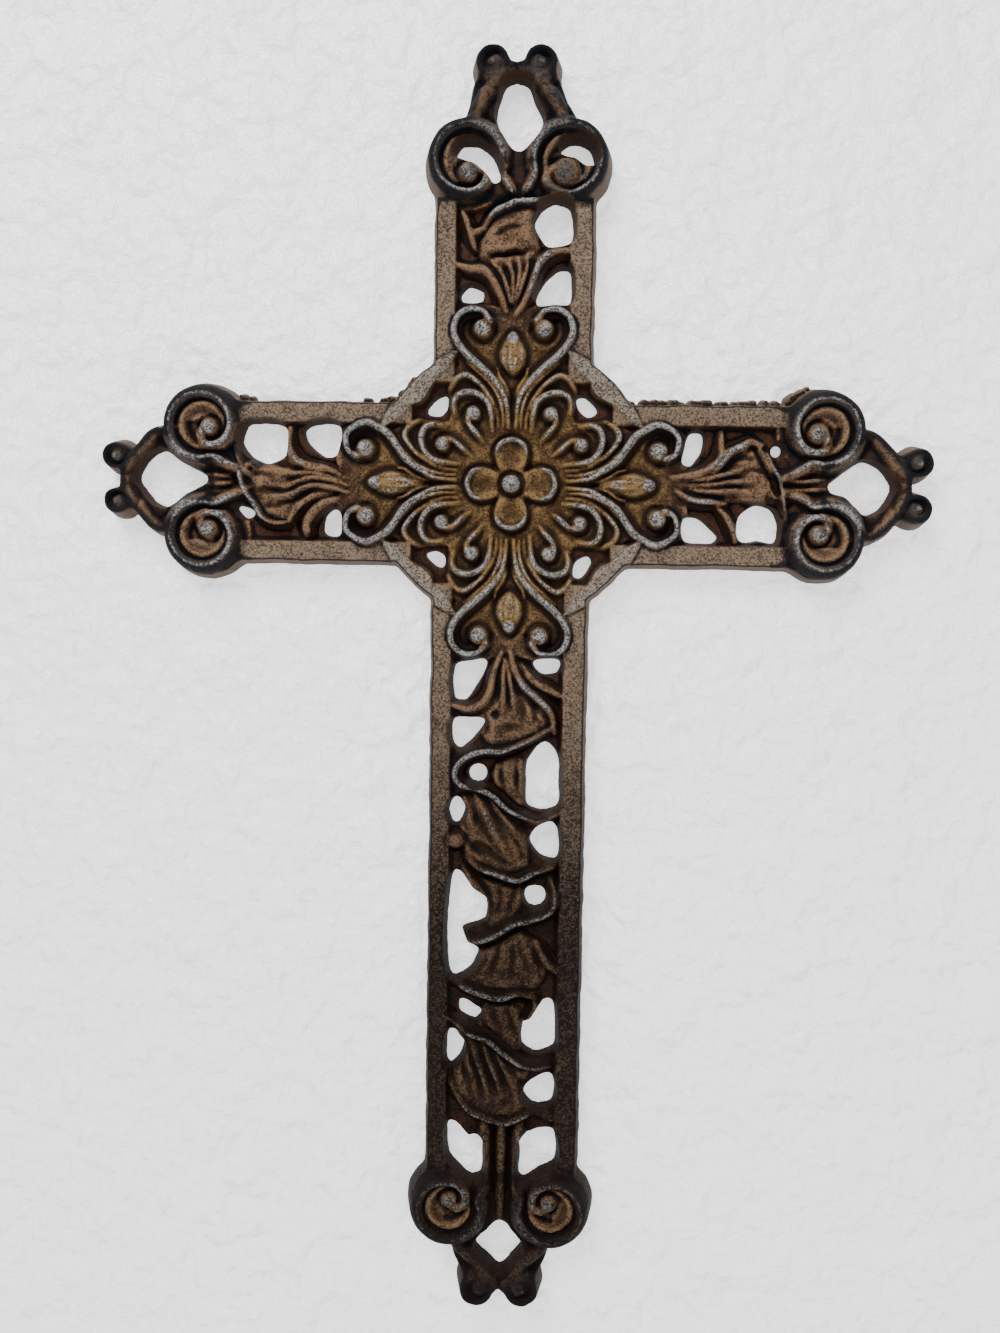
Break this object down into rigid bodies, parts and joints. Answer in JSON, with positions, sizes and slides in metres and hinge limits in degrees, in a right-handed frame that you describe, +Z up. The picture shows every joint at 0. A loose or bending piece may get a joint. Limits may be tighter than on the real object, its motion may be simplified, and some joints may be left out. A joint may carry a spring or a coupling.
{
  "type": "wall cross",
  "caption": "Pierced cast iron wall cross with a rosette at the crossing, paired scrolls at each end, acanthus carving and a hanging eye at the top",
  "frame": {"origin": "top inner edge of the hanging eye, in the plane of the flat back", "axes": "+Z up along the upright, +X to the viewer's right, front faces -Y, flat back lies in the plane Y = 0"},
  "size_m": [0.2003, 0.0098, 0.3081],
  "materials": {
    "cast_iron": "rough sand-cast iron, black with rust-brown wash and silvery rubbed ridges"
  },
  "bodies": {
    "root": {"cross_casting": "cast_iron"}
  },
  "joints": []
}
